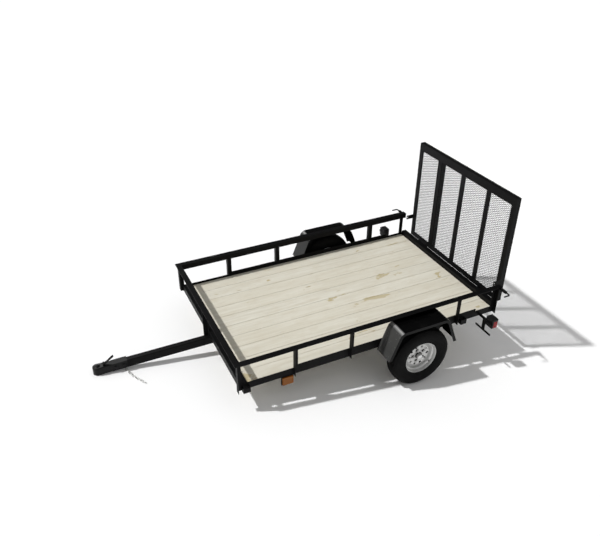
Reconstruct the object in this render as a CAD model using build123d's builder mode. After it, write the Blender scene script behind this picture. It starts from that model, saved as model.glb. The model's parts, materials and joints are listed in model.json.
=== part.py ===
"""Single-axle utility trailer with a mesh ramp gate, parked nose-down on its coupler."""

import os
from math import asin, atan2, cos, degrees, hypot, radians, sin

from build123d import *

os.makedirs("parts", exist_ok=True)

# The trailer is modelled level: millimetres, X forward from the axle, Y to the left, Z up from
# the ground. The last section tips it about the axle until the coupler meets the ground.

# Deck
bed_length = 2475.0
bed_width = 1522.0
bed_front = 1589.0
board_count = 10
board_thickness = 38.0
board_gap = 3.0
board_clearance = 3.5

# Frame angles under and around the deck
frame_leg = 63.0
frame_wall = 5.0
frame_root = 3.0
rear_rail_height = 81.0
rear_rail_depth = 50.0
crossmember_leg = 50.0
crossmember_count = 4
crossmember_spacing = 640.0
crossmember_inset = 24.0
band_height = 24.0
band_front_inset = 479.0
band_rear_inset = 195.0

# Top rails and posts
rail_height = 247.0
rail_leg = 51.0
rail_wall = 5.0
rail_root = 2.5
rail_overhang = 30.0
post_leg = 40.0
post_wall = 4.0
post_root = 2.5
post_foot = 4.0
post_lead = 27.0
post_stations = (1117.0, 602.0, -487.0)

# Tongue
tongue_width = 51.0
tongue_depth = 76.0
tongue_wall = 3.2
tongue_corner = 6.0
tongue_reach = 861.0

# Coupler and its latch lever
coupler_wall = 4.0
coupler_lap = 130.0
coupler_skirt = 62.0
ball_diameter = 50.8
ball_clearance = 0.8
ball_reach = 113.0
nose_radius = 38.0
nose_rise = 10.0
nose_round = 8.0
mouth_depth = 69.0
clamp_slot = 30.0
lever_setback = 57.0
lever_reach = 84.0
lever_rise = 54.0
lever_width = 24.0
lever_wall = 5.0
lever_bend = 20.0
lever_knuckle = 8.0
lever_pin = 4.0
lever_ear_wall = 4.0

# Safety chain
chain_wire = 6.3
chain_pitch = 25.4
chain_link_width = 22.0
chain_slack = 0.4
chain_links = 11
chain_setback = 97.0
chain_eye_radius = 13.0
chain_eye_wire = 8.0
chain_heading = 100.0
chain_curl = 3.0

# Wheels and axle
tyre_radius = 285.0
tyre_width = 140.0
tread_width = 104.0
tread_drop = 6.0
tyre_wall = 10.0
rim_seat_radius = 153.0
rim_flange_height = 13.0
rim_well_depth = 19.0
rim_width = 112.0
rim_wall = 3.5
rim_bend = 5.0
wheel_standoff = 120.0
disc_offset = 12.0
vent_count = 10
vent_radius = 12.0
vent_circle = 90.0
lug_count = 5
lug_circle = 57.15
lug_radius = 7.0
hub_pilot_radius = 33.0
hub_barrel_radius = 36.0
hub_flange_radius = 74.0
hub_flange_thickness = 9.0
hub_pilot_length = 8.0
hub_cap_radius = 24.0
hub_cap_length = 34.0
hub_inner_length = 52.0
axle_radius = 24.0
shoulder_standoff = 24.0
spindle_radius = 17.0
spindle_tip_radius = 12.5
spindle_step_inset = 22.0
spindle_reach = 33.0
running_clearance = 0.3

# Springs
spring_span = 610.0
spring_arch = 29.0
spring_width = 40.0
spring_inset = 26.5
leaf_thickness = 7.0
leaf_shares = (1.0, 0.72, 0.44)
spring_eye_radius = 15.0
spring_bolt_radius = 7.0
spring_clearance = 1.0
hanger_drop = 18.27
hanger_wall = 5.0
hanger_length = 62.0
slipper_radius = 10.0
keeper_radius = 5.0
seat_thickness = 5.0
seat_length = 50.0
clamp_wire = 10.0
clamp_plate = 8.0
clamp_plate_length = 92.0

# Fenders
fender_rise = 352.0
fender_foot_rise = 87.0
fender_top_half = 241.0
fender_bottom_half = 345.0
fender_cover = 4.0
fender_wall = 3.0
fender_lip = 28.0
fender_bend = 65.0

# Lamps
marker_setback = 401.0
marker_length = 108.0
marker_height = 88.0
marker_base_depth = 16.0
marker_lens_depth = 14.0
marker_border = 6.0
tail_setback = 155.0
tail_arm_height = 30.0
tail_arm_wall = 4.0
tail_arm_reach = 196.0
tail_arm_drop = 20.0
tail_corner = 10.0
tail_lamp_width = 88.0
tail_lamp_height = 94.0
tail_lamp_depth = 62.0
tail_lamp_lap = 57.0
tail_lamp_inset = 4.0
tail_lamp_corner = 6.0
tail_lens_height = 66.0
tail_lens_depth = 46.0
tail_lens_border = 5.0
plate_strip_length = 204.0
plate_strip_height = 22.0
plate_strip_drop = 133.0
plate_neck = 40.0
plate_wall = 2.5
plate_shift = 93.0
plate_hole_span = 178.0
plate_hole_radius = 3.5

# Stake pockets
pocket_length = 60.0
pocket_depth = 40.0
pocket_height = 50.0
pocket_drop = 8.0
pocket_wall = 4.0
pocket_gap = 2.0

# Ramp gate
gate_gap = 39.0
gate_side_gap = 49.0
gate_lift = 9.0
gate_height = 1058.0
gate_leg = 50.0
gate_head_leg = 76.0
gate_wall = 4.0
gate_bar_leg = 56.0
gate_bar_spacing = 366.0
mesh_thickness = 3.0
mesh_strand = 7.0
mesh_columns = 4
mesh_rows = 8
mesh_clearance = 1.0
hinge_station = 500.0
hinge_barrel_length = 110.0
hinge_barrel_radius = 14.0
hinge_pin_radius = 8.0
hinge_lug_radius = 11.0
hinge_lug_wall = 8.0
hinge_side_gap = 2.0

# Gate latches, drawn back
latch_inset = 12.5
latch_drop = 21.0
latch_tube_radius = 14.0
latch_tube_length = 105.0
latch_rod_radius = 6.5
latch_rod_reach = 157.0
latch_handle = 60.0
latch_bend = 14.0
latch_clearance = 0.5
latch_tab_height = 44.0
latch_tab_lap = 12.0
latch_tab_wall = 5.0

# Levels and edges that follow from the sizes above
seat_top = tyre_radius + axle_radius + seat_thickness
main_level = seat_top + (len(leaf_shares) - 1) * leaf_thickness
half_span = spring_span / 2
leaf_radius = (half_span**2 + spring_arch**2) / (2 * spring_arch)
arc_level = main_level + leaf_radius
sweep_angle = degrees(asin(half_span / leaf_radius))
eye_x = (leaf_radius - spring_eye_radius) * sin(radians(sweep_angle))
eye_z = arc_level - (leaf_radius - spring_eye_radius) * cos(radians(sweep_angle))
frame_bottom = eye_z + hanger_drop
deck_height = frame_bottom + frame_wall + board_thickness
bed_rear = bed_front - bed_length
half_bed = bed_width / 2
frame_top = frame_bottom + frame_leg
frame_side = half_bed + frame_wall
frame_front = bed_front + board_clearance + frame_wall
frame_rear = bed_rear - board_clearance - frame_wall
leg_top = frame_bottom + frame_wall
leg_edge = frame_side - frame_leg
band_front = bed_front - band_front_inset
band_rear = bed_rear + band_rear_inset
rail_top = deck_height + rail_height
rail_under = rail_top - rail_wall
rail_rear = frame_rear - rail_overhang
rail_inside = frame_side - rail_wall
rail_front_inside = frame_front - rail_wall
post_bottom = frame_bottom + post_foot
post_front_heel = frame_front + post_lead
crossmember_first = bed_rear + crossmember_inset
tongue_rear = crossmember_first + (crossmember_count - 1) * crossmember_spacing
tongue_front = bed_front + tongue_reach
tongue_top = frame_bottom
tongue_bottom = tongue_top - tongue_depth
coupler_top = tongue_top + coupler_wall
coupler_width = tongue_width + 2 * coupler_wall
ball_station = tongue_front + ball_reach
lever_station = ball_station - lever_setback
chain_station = tongue_front - chain_setback
nose_level = coupler_top + nose_rise - nose_radius
socket_radius = ball_diameter / 2 + ball_clearance
lever_level = coupler_top + lever_knuckle + 1
mouth_height = coupler_top - mouth_depth
spring_side = frame_side - spring_inset
wheel_plane = frame_side + wheel_standoff
disc_face = wheel_plane + disc_offset
axle_shoulder = frame_side + shoulder_standoff
spindle_step = wheel_plane - spindle_step_inset
spindle_end = wheel_plane + spindle_reach
fender_top = tyre_radius + fender_rise
fender_bottom = tyre_radius + fender_foot_rise
fender_width = wheel_standoff + tyre_width / 2 + fender_cover
rear_rail_front = bed_rear - board_clearance
rear_rail_top = leg_top + rear_rail_height
rear_rail_back = rear_rail_front - rear_rail_depth
gate_front = rear_rail_back - gate_gap
gate_half_width = half_bed - gate_side_gap
gate_bottom = deck_height + gate_lift
gate_top = gate_bottom + gate_height
hinge_x = gate_front - gate_leg / 2
hinge_z = gate_bottom - hinge_barrel_radius
latch_station = rail_rear + latch_inset
latch_level = rail_top - latch_drop
marker_station = bed_front - marker_setback
tail_station = bed_rear + tail_setback

FORWARD, REARWARD = (1, 0, 0), (-1, 0, 0)
LEFT, RIGHT = (0, 1, 0), (0, -1, 0)
UP, DOWN = (0, 0, 1), (0, 0, -1)
AXLE = Plane(origin=(0, 0, tyre_radius), x_dir=LEFT, z_dir=FORWARD)
AXLE_LINE = Axis((0, 0, tyre_radius), LEFT)

pieces = {}


def angle_bar(start, along, first_leg, length, legs, wall, root=0):
    """Rolled angle: the heel runs from start, and the first leg points the way given."""
    with BuildPart() as bar:
        with BuildSketch(Plane(origin=start, x_dir=first_leg, z_dir=along)) as section:
            with BuildLine():
                Polyline(
                    (0, 0),
                    (legs[0], 0),
                    (legs[0], wall),
                    (wall, wall),
                    (wall, legs[1]),
                    (0, legs[1]),
                    close=True,
                )
            make_face()
            if root:
                fillet(section.vertices().sort_by_distance((wall, wall))[0], radius=root)
        extrude(amount=length)
    return bar


def side_plane(distance):
    """Upright plane that many millimetres to the left, with X forward and Y up."""
    return Plane.XZ.offset(-distance)


def mirrored(piece):
    """The same piece on the right-hand side."""
    with BuildPart() as other:
        mirror(piece.part, about=Plane.XZ)
    return other


# Deck: planks laid lengthwise between the side rails
plank_width = (bed_width - 2 * board_clearance - (board_count - 1) * board_gap) / board_count
with BuildPart() as deck:
    with BuildSketch(Plane.XY.offset(deck_height - board_thickness)):
        with Locations(((bed_front + bed_rear) / 2, 0)):
            with GridLocations(0, plank_width + board_gap, 1, board_count):
                Rectangle(bed_length, plank_width)
    extrude(amount=board_thickness)
pieces["deck"] = deck

# Side rails: an angle under the planks and a flat band along its top edge
frame_legs = (frame_leg, frame_leg)
side_start = (frame_front, frame_side, frame_bottom)
side_length = frame_front - frame_rear
side_angle = angle_bar(side_start, REARWARD, RIGHT, side_length, frame_legs, frame_wall, frame_root)
with BuildPart() as side_rail:
    add(side_angle.part)
    with BuildSketch(side_plane(half_bed)):
        with Locations((band_rear, frame_top)):
            Rectangle(band_front - band_rear, band_height, align=(Align.MIN, Align.MIN))
    extrude(amount=-frame_wall)
pieces["side_rail_left"] = side_rail
pieces["side_rail_right"] = mirrored(side_rail)

# Front rail: a channel round the ends of the planks, coped over the lower legs of the side rails
cross_width = bed_width - 2 * board_clearance
with BuildPart() as front_rail:
    with BuildSketch(side_plane(-cross_width / 2)):
        with Locations((frame_front, frame_bottom)):
            Rectangle(frame_leg, frame_leg, align=(Align.MAX, Align.MIN))
        with Locations((frame_front - frame_wall, leg_top)):
            Rectangle(
                frame_leg, frame_leg - 2 * frame_wall, align=(Align.MAX, Align.MIN), mode=Mode.SUBTRACT
            )
    extrude(amount=-cross_width)
    with BuildSketch(Plane.XY.offset(frame_bottom)):
        with Locations((frame_front, leg_edge), (frame_front, -leg_edge - frame_leg)):
            Rectangle(frame_leg, frame_leg, align=(Align.MAX, Align.MIN))
    extrude(amount=frame_wall, mode=Mode.SUBTRACT)
pieces["front_rail"] = front_rail

# Rear rail: stands above the planks and carries the hinge lugs and pins of the gate
rear_start = (rear_rail_front, cross_width / 2, rear_rail_top)
rear_legs = (rear_rail_depth, rear_rail_height)
rear_angle = angle_bar(rear_start, RIGHT, REARWARD, cross_width, rear_legs, frame_wall, frame_root)
lug_offset = hinge_barrel_length / 2 + hinge_side_gap
lug_root = (rear_rail_depth - frame_wall, 2 * hinge_lug_radius)
with BuildPart() as rear_rail:
    add(rear_angle.part)
    for side in (hinge_station, -hinge_station):
        for inner_face in (side - lug_offset - hinge_lug_wall, side + lug_offset):
            with BuildSketch(side_plane(inner_face)):
                with Locations((hinge_x, hinge_z)):
                    Circle(hinge_lug_radius)
                with Locations((frame_rear, hinge_z)):
                    Rectangle(*lug_root, align=(Align.MAX, Align.CENTER))
                make_hull()
            extrude(amount=-hinge_lug_wall)
        with BuildSketch(side_plane(side - lug_offset)):
            with Locations((hinge_x, hinge_z)):
                Circle(hinge_pin_radius)
        extrude(amount=-2 * lug_offset)
pieces["rear_rail"] = rear_rail

# Crossmembers between the lower legs of the side rails
crossmember_legs = (crossmember_leg, crossmember_leg)
for number in range(crossmember_count):
    station = crossmember_first + number * crossmember_spacing
    start = (station, leg_edge, leg_top)
    member = angle_bar(start, RIGHT, REARWARD, 2 * leg_edge, crossmember_legs, frame_wall, frame_root)
    pieces[f"crossmember_{number + 1}"] = member

# Tongue: a rectangular tube from the foremost crossmember, with the eye of the safety chain below
with BuildPart() as tongue:
    with BuildSketch(Plane.YZ.offset(tongue_rear)):
        with Locations((0, (tongue_top + tongue_bottom) / 2)):
            RectangleRounded(tongue_width, tongue_depth, tongue_corner)
            RectangleRounded(
                tongue_width - 2 * tongue_wall,
                tongue_depth - 2 * tongue_wall,
                tongue_corner - tongue_wall,
                mode=Mode.SUBTRACT,
            )
    extrude(amount=tongue_front - tongue_rear)
    with BuildLine(Plane.XZ) as eye:
        CenterArc((chain_station, tongue_bottom), chain_eye_radius, 180, 180)
    with BuildSketch(Plane(origin=eye.line @ 0, x_dir=LEFT, z_dir=eye.line % 0)):
        RegularPolygon(chain_eye_wire / 2, 8)
    sweep()
pieces["tongue"] = tongue

# Coupler: a channel over the tongue, a tapering neck and a domed ball socket open below
with BuildPart() as coupler:
    with BuildSketch(Plane.XY.offset(mouth_height)):
        with Locations((ball_station, 0)):
            Circle(nose_radius)
        with Locations((tongue_front, 0)):
            Rectangle(coupler_wall, coupler_width, align=(Align.MIN, Align.CENTER))
        make_hull()
    extrude(amount=coupler_top - mouth_height)
    fillet(coupler.edges().group_by(Axis.Z)[-1].filter_by(Plane.YZ, reverse=True), radius=nose_round)
    with Locations((ball_station, 0, nose_level)):
        Sphere(nose_radius)
    with BuildSketch(Plane.YZ.offset(tongue_front - coupler_lap)):
        with Locations((0, coupler_top)):
            Rectangle(coupler_width, coupler_skirt + coupler_wall, align=(Align.CENTER, Align.MAX))
        with Locations((0, tongue_top)):
            Rectangle(tongue_width, tongue_depth, align=(Align.CENTER, Align.MAX), mode=Mode.SUBTRACT)
    extrude(amount=coupler_lap)
    with BuildSketch(Plane.XY.offset(mouth_height)):
        with Locations((ball_station, 0)):
            Circle(socket_radius)
            Rectangle(
                ball_station - tongue_front - coupler_wall, clamp_slot, align=(Align.MAX, Align.CENTER)
            )
    extrude(amount=nose_level - mouth_height, mode=Mode.SUBTRACT)
    with Locations((ball_station, 0, nose_level)):
        Sphere(socket_radius, mode=Mode.SUBTRACT)
    ear_face = lever_width / 2 + spring_clearance
    for face in (ear_face, -ear_face - lever_ear_wall):
        with BuildSketch(side_plane(face)):
            with Locations((lever_station, lever_level)):
                Circle(lever_knuckle)
            with Locations((lever_station, coupler_top)):
                Rectangle(3 * lever_knuckle, 2, align=(Align.CENTER, Align.MAX))
            make_hull()
            with Locations((lever_station, lever_level)):
                Circle(lever_pin + running_clearance, mode=Mode.SUBTRACT)
        extrude(amount=-lever_ear_wall)
pieces["coupler"] = coupler

# Latch lever of the coupler, on its pin between the ears
with BuildPart() as lever:
    with BuildSketch(side_plane(-lever_width / 2)):
        with BuildLine():
            FilletPolyline(
                (lever_station, lever_level),
                (lever_station - 0.3 * lever_reach, lever_level + 0.2 * lever_rise),
                (lever_station - lever_reach, lever_level + lever_rise),
                radius=lever_bend,
            )
        trace(line_width=lever_wall)
        with Locations((lever_station, lever_level)):
            Circle(lever_knuckle)
    extrude(amount=-lever_width)
    pin_reach = ear_face + lever_ear_wall
    with BuildSketch(side_plane(-pin_reach)):
        with Locations((lever_station, lever_level)):
            Circle(lever_pin)
    extrude(amount=-2 * pin_reach)
pieces["coupler_latch"] = lever

# Axle: a straight round beam with stepped spindles and a pad under each spring
with BuildPart() as axle:
    with BuildSketch(AXLE):
        with BuildLine():
            Polyline(
                (0, 0),
                (0, axle_radius),
                (axle_shoulder, axle_radius),
                (axle_shoulder, spindle_radius),
                (spindle_step, spindle_radius),
                (spindle_step, spindle_tip_radius),
                (spindle_end, spindle_tip_radius),
                (spindle_end, 0),
                (0, 0),
            )
        make_face()
    revolve(axis=AXLE_LINE)
    with BuildSketch(Plane.XY.offset(tyre_radius)):
        with Locations((0, spring_side)):
            Rectangle(seat_length, spring_width)
    extrude(amount=seat_top - tyre_radius - running_clearance)
    mirror(about=Plane.XZ)
pieces["axle"] = axle

# Leaf springs: a main leaf with one rolled eye, and shorter leaves below it
tail_x = -half_span + hanger_length / 3
tail_top = arc_level - ((leaf_radius - leaf_thickness) ** 2 - tail_x**2) ** 0.5
with BuildPart() as spring:
    with BuildSketch(side_plane(spring_side - spring_width / 2)):
        for layer, share in enumerate(leaf_shares):
            under = leaf_radius + layer * leaf_thickness
            half_sweep = sweep_angle * share
            with BuildLine():
                lower = CenterArc((0, arc_level), under, 270 - half_sweep, 2 * half_sweep)
                upper = CenterArc((0, arc_level), under - leaf_thickness, 270 - half_sweep, 2 * half_sweep)
                Line(lower @ 0, upper @ 0)
                Line(lower @ 1, upper @ 1)
            make_face()
        with Locations((eye_x, eye_z)):
            Circle(spring_eye_radius)
            Circle(spring_bolt_radius + running_clearance, mode=Mode.SUBTRACT)
    extrude(amount=-spring_width)
pieces["spring_left"] = spring
pieces["spring_right"] = mirrored(spring)

# Spring hangers: an eye bolt in front, a slipper bar and keeper bolt behind
cheek = spring_width / 2 + spring_clearance
with BuildPart() as hanger_front:
    for face in (spring_side - cheek - hanger_wall, spring_side + cheek):
        with BuildSketch(side_plane(face)):
            with Locations((eye_x, eye_z)):
                Circle(spring_eye_radius)
            with Locations((eye_x, frame_bottom)):
                Rectangle(hanger_length, 2, align=(Align.CENTER, Align.MAX))
            make_hull()
        extrude(amount=-hanger_wall)
    with BuildSketch(side_plane(spring_side - cheek)):
        with Locations((eye_x, eye_z)):
            Circle(spring_bolt_radius)
    extrude(amount=-2 * cheek)
pieces["hanger_front_left"] = hanger_front
pieces["hanger_front_right"] = mirrored(hanger_front)

slipper_z = tail_top + slipper_radius + running_clearance
keeper_z = tail_top - leaf_thickness - keeper_radius - 2 * spring_clearance
with BuildPart() as hanger_rear:
    for face in (spring_side - cheek - hanger_wall, spring_side + cheek):
        with BuildSketch(side_plane(face)):
            with Locations((tail_x, keeper_z)):
                Circle(2 * keeper_radius)
            with Locations((tail_x, frame_bottom)):
                Rectangle(hanger_length, 2, align=(Align.CENTER, Align.MAX))
            make_hull()
        extrude(amount=-hanger_wall)
    with BuildSketch(side_plane(spring_side - cheek)):
        with Locations((tail_x, slipper_z)):
            Circle(slipper_radius)
        with Locations((tail_x, keeper_z)):
            Circle(keeper_radius)
    extrude(amount=-2 * cheek)
pieces["hanger_rear_left"] = hanger_rear
pieces["hanger_rear_right"] = mirrored(hanger_rear)

# Axle clamps: a plate on the spring and two U-bolts round the axle
plate_under = main_level + leaf_thickness + spring_clearance
bolt_gauge = axle_radius + running_clearance + clamp_wire / 2
bolt_top = plate_under + clamp_plate + clamp_wire
bolt_side = spring_width / 2 + spring_clearance + clamp_wire / 2
with BuildPart() as clamp:
    with BuildSketch(Plane.XY.offset(plate_under)):
        with Locations((0, spring_side)):
            RectangleRounded(clamp_plate_length, 2 * bolt_side + 2 * clamp_wire, clamp_wire / 2)
    extrude(amount=clamp_plate)
    for offset_side in (-bolt_side, bolt_side):
        with BuildLine(side_plane(spring_side + offset_side)) as bolt:
            Line((-bolt_gauge, bolt_top), (-bolt_gauge, tyre_radius))
            CenterArc((0, tyre_radius), bolt_gauge, 180, 180)
            Line((bolt_gauge, tyre_radius), (bolt_gauge, bolt_top))
        with BuildSketch(Plane.XY.offset(bolt_top)):
            with Locations((-bolt_gauge, spring_side + offset_side)):
                Circle(clamp_wire / 2)
        sweep(path=bolt.wires()[0])
pieces["axle_clamp_left"] = clamp
pieces["axle_clamp_right"] = mirrored(clamp)

# Fenders: a flat-topped folded strip, open to the bed, with a turned-down outer lip
slope = (fender_bottom_half - fender_top_half) / (fender_top - fender_bottom)
foot_half = fender_bottom_half + slope * fender_lip
with BuildPart() as fender:
    with BuildSketch(side_plane(frame_side)) as outline:
        with BuildLine():
            Polyline(
                (foot_half, fender_bottom - fender_lip),
                (fender_top_half, fender_top),
                (-fender_top_half, fender_top),
                (-foot_half, fender_bottom - fender_lip),
                close=True,
            )
        make_face()
        fillet(outline.vertices().group_by(Axis.Y)[-1], radius=fender_bend)
    extrude(amount=-fender_width)
    with BuildSketch(side_plane(frame_side)):
        add(offset(outline.sketch_local, amount=-fender_wall, mode=Mode.PRIVATE))
    extrude(amount=-(fender_width - fender_wall), mode=Mode.SUBTRACT)
    with BuildSketch(side_plane(frame_side + fender_width - fender_wall)):
        add(offset(outline.sketch_local, amount=-fender_lip, mode=Mode.PRIVATE))
    extrude(amount=-fender_wall, mode=Mode.SUBTRACT)
    split(bisect_by=Plane.XY.offset(fender_bottom), keep=Keep.TOP)
pieces["fender_left"] = fender
pieces["fender_right"] = mirrored(fender)

# Top rails: outward angles, mitred at the two front corners
rail_legs = (rail_leg, rail_leg)
rail_front = rail_front_inside + rail_leg
rail_start = (rail_front, rail_inside, rail_top)
rail_length = rail_front - rail_rear
long_angle = angle_bar(rail_start, REARWARD, LEFT, rail_length, rail_legs, rail_wall, rail_root)
left_mitre = Plane(origin=(rail_front_inside, rail_inside, 0), x_dir=UP, z_dir=(-1, 1, 0))
with BuildPart() as top_rail:
    add(long_angle.part)
    split(bisect_by=left_mitre, keep=Keep.TOP)
    with BuildSketch(side_plane(rail_inside)):
        with Locations((latch_station, latch_level)):
            Circle(latch_rod_radius + latch_clearance)
    extrude(amount=-rail_wall, mode=Mode.SUBTRACT)
pieces["top_rail_left"] = top_rail
pieces["top_rail_right"] = mirrored(top_rail)

rail_reach = rail_inside + rail_leg
cross_start = (rail_front_inside, -rail_reach, rail_top)
cross_angle = angle_bar(cross_start, LEFT, FORWARD, 2 * rail_reach, rail_legs, rail_wall, rail_root)
right_mitre = Plane(origin=(rail_front_inside, -rail_inside, 0), x_dir=UP, z_dir=(-1, -1, 0))
with BuildPart() as top_rail_front:
    add(cross_angle.part)
    split(bisect_by=left_mitre, keep=Keep.BOTTOM)
    split(bisect_by=right_mitre, keep=Keep.BOTTOM)
pieces["top_rail_front"] = top_rail_front

# Posts between the frame and the top rails
post_legs = (post_leg, post_leg)
post_top = rail_under - rail_root
post_length = post_top - post_bottom
post_size = (post_legs, post_wall, post_root)
with BuildPart() as posts:
    for heel in (post_front_heel, *(station + post_leg / 2 for station in post_stations)):
        add(angle_bar((heel, frame_side, post_bottom), UP, LEFT, post_length, *post_size).part)
    add(angle_bar((frame_rear, frame_side, post_top), DOWN, LEFT, post_length, *post_size).part)
pieces["posts_left"] = posts
pieces["posts_right"] = mirrored(posts)
pieces["post_front"] = angle_bar(
    (frame_front, -post_leg / 2, tongue_top), UP, FORWARD, post_top - tongue_top, *post_size
)

# Marker lamps under the side rails
marker_back = frame_side - marker_base_depth
marker_level = frame_bottom - marker_height / 2
with BuildPart() as marker_base:
    with BuildSketch(side_plane(marker_back)):
        with Locations((marker_station, marker_level)):
            Rectangle(marker_length, marker_height)
    extrude(amount=-marker_base_depth)
    fillet(marker_base.edges().filter_by(Axis.Y).group_by(Axis.Z)[0], radius=marker_border)
pieces["marker_base_left"] = marker_base
pieces["marker_base_right"] = mirrored(marker_base)
with BuildPart() as marker_lens:
    with BuildSketch(side_plane(frame_side)):
        with Locations((marker_station, marker_level)):
            RectangleRounded(
                marker_length - 2 * marker_border, marker_height - 2 * marker_border, marker_border
            )
    extrude(amount=-marker_lens_depth)
    fillet(marker_lens.faces().sort_by(Axis.Y)[-1].edges(), radius=marker_border / 2)
pieces["marker_lens_left"] = marker_lens
pieces["marker_lens_right"] = mirrored(marker_lens)

# Tail lamps on arms that reach out from the side rails
arm_top = frame_top - tail_arm_drop
arm_bottom = arm_top - tail_arm_height
arm_back = tail_station - tail_arm_wall
with BuildPart() as tail_arm:
    with BuildSketch(Plane.YZ.offset(arm_back)):
        with Locations((frame_side, arm_bottom)):
            Rectangle(tail_arm_reach, tail_arm_height, align=(Align.MIN, Align.MIN))
    extrude(amount=tail_arm_wall)
    fillet(tail_arm.edges().filter_by(Axis.X).group_by(Axis.Y)[-1], radius=tail_corner)
pieces["tail_arm_left"] = tail_arm
pieces["tail_arm_right"] = mirrored(tail_arm)

# Each black housing is a hood over a red lens that shows behind and on the outer side
lamp_top = arm_bottom + tail_lamp_lap
lamp_bottom = lamp_top - tail_lamp_height
lamp_back = arm_back - tail_lamp_depth
lamp_outside = frame_side + tail_arm_reach - tail_lamp_inset
lens_bottom = lamp_bottom + tail_lens_border
lens_width = tail_lamp_width - tail_lens_border
lens_pocket = (lens_width + running_clearance, tail_lens_height + 2 * running_clearance)
outer_foot = (Align.MAX, Align.MIN)
with BuildPart() as tail_housing:
    with BuildSketch(Plane.YZ.offset(lamp_back)):
        with Locations((lamp_outside, lamp_bottom)):
            Rectangle(tail_lamp_width, tail_lamp_height, align=outer_foot)
    extrude(amount=tail_lamp_depth)
    fillet(tail_housing.edges().filter_by(Axis.X), radius=tail_lamp_corner)
    fillet(tail_housing.faces().sort_by(Axis.X)[-1].edges(), radius=tail_lamp_corner / 2)
    with BuildSketch(Plane.YZ.offset(lamp_back)):
        with Locations((lamp_outside, lens_bottom - running_clearance)):
            Rectangle(*lens_pocket, align=outer_foot)
    extrude(amount=tail_lens_depth + running_clearance, mode=Mode.SUBTRACT)
pieces["tail_housing_left"] = tail_housing
pieces["tail_housing_right"] = mirrored(tail_housing)
with BuildPart() as tail_lens:
    with BuildSketch(Plane.YZ.offset(lamp_back)):
        with Locations((lamp_outside, lens_bottom)):
            Rectangle(lens_width, tail_lens_height, align=outer_foot)
    extrude(amount=tail_lens_depth)
    outer_edges = tail_lens.faces().sort_by(Axis.Y)[-1].edges()
    fillet(outer_edges.sort_by(Axis.X)[0], radius=tail_lamp_corner)
pieces["tail_lens_left"] = tail_lens
pieces["tail_lens_right"] = mirrored(tail_lens)

# Licence plate bracket, on the left arm only
strip_level = arm_top - plate_strip_drop
strip_side = frame_side + plate_shift
with BuildPart() as plate_bracket:
    with BuildSketch(Plane.YZ.offset(tail_station)):
        with Locations((strip_side, strip_level)):
            RectangleRounded(plate_strip_length, plate_strip_height, plate_strip_height / 3)
            Rectangle(plate_neck, plate_strip_drop, align=(Align.CENTER, Align.MIN))
            with GridLocations(plate_hole_span, 0, 2, 1):
                Circle(plate_hole_radius, mode=Mode.SUBTRACT)
    extrude(amount=plate_wall)
pieces["plate_bracket"] = plate_bracket

# Stake pockets: folded channels welded to the frame behind the front and rear posts
pocket_bottom = frame_bottom - pocket_drop
pocket_reach = post_leg + pocket_gap
for where, pocket_end in (
    ("front", post_front_heel - pocket_reach),
    ("rear", post_stations[-1] + post_leg / 2 - pocket_reach),
):
    with BuildPart() as pocket:
        with BuildSketch(Plane.XY.offset(pocket_bottom)):
            with Locations((pocket_end - pocket_length / 2, frame_side)):
                Rectangle(pocket_length, pocket_depth, align=(Align.CENTER, Align.MIN))
                Rectangle(
                    pocket_length - 2 * pocket_wall,
                    pocket_depth - pocket_wall,
                    align=(Align.CENTER, Align.MIN),
                    mode=Mode.SUBTRACT,
                )
        extrude(amount=pocket_height)
    pieces[f"stake_pocket_{where}_left"] = pocket
    pieces[f"stake_pocket_{where}_right"] = mirrored(pocket)

# Gate latches: a tube under the rail's end with a cranked rod, drawn back from the gate
with BuildPart() as latch:
    with BuildSketch(side_plane(frame_side)):
        with Locations((latch_station, latch_level)):
            Circle(latch_tube_radius)
            Circle(latch_rod_radius + latch_clearance, mode=Mode.SUBTRACT)
    extrude(amount=-latch_tube_length)
    with BuildLine(Plane.XY.offset(latch_level)) as rod:
        FilletPolyline(
            (latch_station, rail_inside),
            (latch_station, rail_inside + latch_rod_reach),
            (latch_station + latch_handle, rail_inside + latch_rod_reach),
            radius=latch_bend,
        )
    with BuildSketch(side_plane(rail_inside)):
        with Locations((latch_station, latch_level)):
            Circle(latch_rod_radius)
    sweep(path=rod.wires()[0])
pieces["gate_latch_left"] = latch
pieces["gate_latch_right"] = mirrored(latch)

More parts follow.
